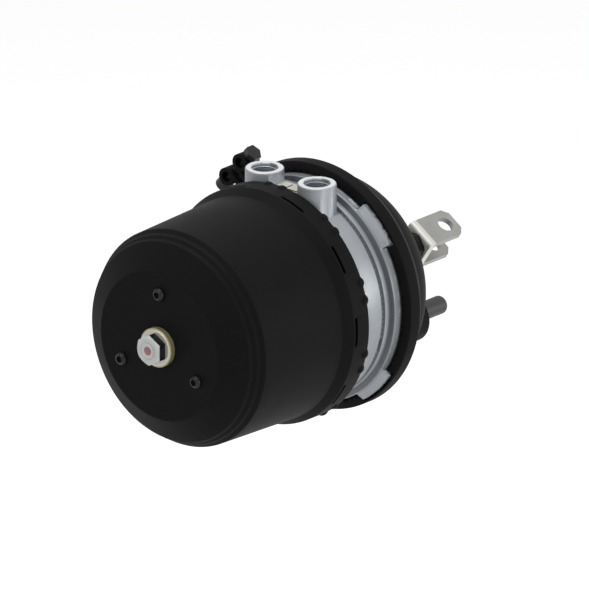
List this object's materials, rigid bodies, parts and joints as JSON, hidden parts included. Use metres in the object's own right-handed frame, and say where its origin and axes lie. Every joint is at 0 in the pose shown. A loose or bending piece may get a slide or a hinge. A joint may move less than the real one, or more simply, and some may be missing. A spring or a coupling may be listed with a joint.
{
  "type": "spring brake actuator",
  "caption": "Double-diaphragm spring brake actuator with tapered crimped spring housing, cast flange with two ports, clamp band, domed rear bowl, studs and a clevis push rod.",
  "frame": {"origin": "middle of the two studs' pattern, on the plane of the bracket pads", "axes": "+X along the push rod and the studs towards the clevis, +Z towards the air ports"},
  "size_m": [0.3879, 0.2224, 0.2186],
  "materials": {
    "black_paint": "satin",
    "black_oxide": "gloss",
    "cast_aluminium": "satin",
    "white_zinc": "satin",
    "yellow_zinc": "satin",
    "grey_steel": "satin",
    "inner_steel": "satin",
    "spring_steel": "satin",
    "black_rubber": "matte",
    "red_plastic": "matte",
    "bearing_plastic": "matte"
  },
  "bodies": {
    "housing": {"spring_housing": "black_paint", "end_screws": "black_oxide", "thrust_washer": "yellow_zinc", "bearing_plate": "inner_steel", "power_spring": "spring_steel", "spring_diaphragm": "black_rubber", "flange_body": "cast_aluminium", "type_plate": "white_zinc", "bulkhead_bush": "bearing_plastic", "bulkhead_seal": "black_rubber", "service_diaphragm": "black_rubber", "return_spring": "spring_steel", "clamp_ring": "black_paint", "clamp_bolt": "grey_steel", "clamp_nut": "grey_steel", "rear_housing": "black_paint", "mounting_studs": "grey_steel", "rod_boot": "black_rubber"},
    "rod": {"push_plate": "inner_steel", "push_rod": "grey_steel", "clevis_lock_nut": "black_oxide", "clevis": "white_zinc"},
    "spring_piston": {"spring_plate": "inner_steel", "plate_nut": "inner_steel", "push_tube": "inner_steel", "tube_foot": "inner_steel"},
    "release_screw": {"release_bolt": "white_zinc", "release_indicator": "red_plastic"},
    "release_slider": {"release_nut": "inner_steel"}
  },
  "joints": [
    {"name": "push_rod_stroke", "type": "slide", "parent": "housing", "child": "rod", "axis": [1, 0, 0], "range_m": [0, 0.064], "stiffness_N_per_m": 2500, "springref_m": -0.02, "deforming": ["return_spring", "service_diaphragm"]},
    {"name": "spring_piston_stroke", "type": "slide", "parent": "housing", "child": "spring_piston", "axis": [1, 0, 0], "range_m": [0, 0.064], "deforming": ["power_spring", "spring_diaphragm"]},
    {"name": "release_bolt_turn", "type": "hinge", "parent": "housing", "child": "release_screw", "pos_m": [-0.2744, 0, 0], "axis": [1, 0, 0], "range_deg": [0, 7680]},
    {"name": "release_nut_travel", "type": "slide", "parent": "housing", "child": "release_slider", "axis": [-1, 0, 0], "range_m": [0, 0.064]}
  ],
  "couplings": [
    {"joint": "spring_piston_stroke", "follows": "push_rod_stroke", "ratio": 1},
    {"joint": "release_nut_travel", "follows": "release_bolt_turn", "m_per_rad": 0.00047746}
  ]
}
